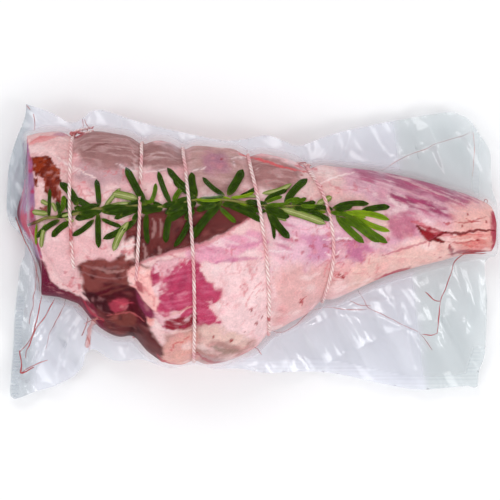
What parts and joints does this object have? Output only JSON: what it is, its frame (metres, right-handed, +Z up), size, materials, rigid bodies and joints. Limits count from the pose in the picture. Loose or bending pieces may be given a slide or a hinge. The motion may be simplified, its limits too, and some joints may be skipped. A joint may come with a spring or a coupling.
{
  "type": "raw leg of lamb in vacuum bag",
  "caption": "Raw leg of lamb for roasting, tied with twine over a sprig of rosemary and sealed in a clear vacuum bag.",
  "frame": {"origin": "on the surface that the pack lies on, under the middle of its box", "axes": "+X along the leg, from the broad butt to the thin shank; +Y across it, towards the edge that is uppermost in the picture; +Z up"},
  "size_m": [0.377, 0.226, 0.0873],
  "materials": {
    "lamb_meat_and_fat": "moist raw meat, red muscle under pinkish white fat",
    "twine": "twisted cotton, damp, with pink stains",
    "rosemary": "fresh leaves, waxy on top and pale beneath",
    "clear_film": "clear glossy film, creased"
  },
  "bodies": {
    "root": {"leg": "lamb_meat_and_fat", "tie_1": "twine", "tie_2": "twine", "tie_3": "twine", "tie_4": "twine", "tie_5": "twine", "rosemary": "rosemary", "bag": "clear_film"}
  },
  "joints": []
}
